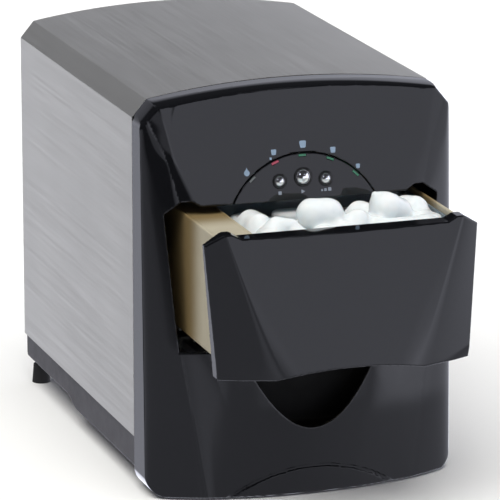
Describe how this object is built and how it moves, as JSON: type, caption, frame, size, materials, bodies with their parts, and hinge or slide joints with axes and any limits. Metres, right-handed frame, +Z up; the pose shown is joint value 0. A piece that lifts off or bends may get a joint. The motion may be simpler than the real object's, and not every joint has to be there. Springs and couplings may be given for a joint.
{
  "type": "countertop ice maker",
  "caption": "Countertop ice maker with brushed steel case, gloss black fascia, pull-out ice drawer with lift-out basket, tilting water tray, evaporator fingers and sealed cooling circuit.",
  "frame": {"origin": "on the surface it stands on, at the centre of the box around the machine with its drawer part open", "axes": "+Z up, -Y towards the person in front, +X to that person's right"},
  "size_m": [0.29, 0.547, 0.3675],
  "materials": {
    "steel": "brushed, satin",
    "gloss_black": "high gloss moulded",
    "matte_black": "fine textured",
    "dark_grey": "fine textured",
    "cream": "satin moulded",
    "clear_blue": "translucent moulded",
    "white_plastic": "satin moulded",
    "foam": "open expanded foam",
    "rubber": "matte",
    "chrome": "polished",
    "copper": "drawn copper tube",
    "aluminium": "plain",
    "zinc_steel": "zinc plated",
    "painted_black": "satin paint",
    "circuit": "coated laminate",
    "lens": "clear moulded",
    "tube_clear": "silicone"
  },
  "bodies": {
    "cabinet": {"base_pan": "matte_black", "board_box": "white_plastic", "board_relays": "matte_black", "bulkhead": "zinc_steel", "button_bezels": "matte_black", "cabinet_wrap": "steel", "compressor": "painted_black", "compressor_mounts": "rubber", "condenser_coil": "copper", "condenser_fins": "aluminium", "control_board": "circuit", "control_panel": "gloss_black", "discharge_line": "copper", "display_board": "circuit", "drain_spout": "tube_clear", "drawer_rails": "white_plastic", "evaporator_coil": "copper", "evaporator_fingers": "chrome", "evaporator_plate": "aluminium", "fan_guard": "matte_black", "fan_motor": "zinc_steel", "fan_shroud": "matte_black", "filter_drier": "copper", "float_stem": "white_plastic", "foam_insulation": "foam", "front_fascia": "gloss_black", "hot_gas_valve": "zinc_steel", "ice_full_sensors": "matte_black", "ice_guide": "white_plastic", "indicator_lenses": "lens", "inlet_pins": "zinc_steel", "inner_liner": "dark_grey", "power_inlet": "matte_black", "pump_hose": "tube_clear", "rear_panel": "painted_black", "rear_screws": "zinc_steel", "rubber_feet": "rubber", "suction_line": "copper", "tact_switches": "matte_black", "terminal_cover": "matte_black", "transformer": "zinc_steel", "tray_bearing": "white_plastic", "tray_motor": "white_plastic", "water_pump": "matte_black", "water_reservoir": "white_plastic"},
    "drawer": {"drawer_front": "gloss_black", "drawer_backing": "matte_black", "drawer_tub": "cream", "drawer_runners": "white_plastic", "drawer_screws": "zinc_steel"},
    "basket": {"ice_basket": "clear_blue"},
    "stop_button": {"stop_button": "chrome"},
    "start_button": {"start_button": "chrome"},
    "ice_size_button": {"ice_size_button": "chrome"},
    "tray": {"ice_tray": "white_plastic"},
    "fan": {"fan_blades": "matte_black"},
    "float": {"water_float": "white_plastic"},
    "drain_plug": {"drain_cap": "rubber"}
  },
  "joints": [
    {"name": "drawer_slide", "type": "slide", "parent": "cabinet", "child": "drawer", "axis": [0, -1, 0], "range_m": [-0.102, 0.025]},
    {"name": "basket_lift", "type": "slide", "parent": "drawer", "child": "basket", "axis": [0, 0, 1], "range_m": [0, 0.01]},
    {"name": "stop_button_press", "type": "slide", "parent": "cabinet", "child": "stop_button", "axis": [0, 0.9792, -0.203], "range_m": [0, 0.0015], "stiffness_N_per_m": 600, "springref_m": -0.001},
    {"name": "start_button_press", "type": "slide", "parent": "cabinet", "child": "start_button", "axis": [0, 0.9792, -0.203], "range_m": [0, 0.0015], "stiffness_N_per_m": 700, "springref_m": -0.001},
    {"name": "ice_size_button_press", "type": "slide", "parent": "cabinet", "child": "ice_size_button", "axis": [0, 0.9792, -0.203], "range_m": [0, 0.0015], "stiffness_N_per_m": 600, "springref_m": -0.001},
    {"name": "tray_tilt", "type": "hinge", "parent": "cabinet", "child": "tray", "pos_m": [0, -0.00177, 0.3], "axis": [1, 0, 0], "range_deg": [0, 80]},
    {"name": "fan_spin", "type": "hinge", "parent": "cabinet", "child": "fan", "pos_m": [0.062, 0.23623, 0.19], "axis": [0, 1, 0], "continuous": true},
    {"name": "float_rise", "type": "slide", "parent": "cabinet", "child": "float", "axis": [0, 0, 1], "range_m": [0, 0.03]},
    {"name": "drain_pull", "type": "slide", "parent": "cabinet", "child": "drain_plug", "axis": [0, 1, 0], "range_m": [0, 0.014]}
  ]
}
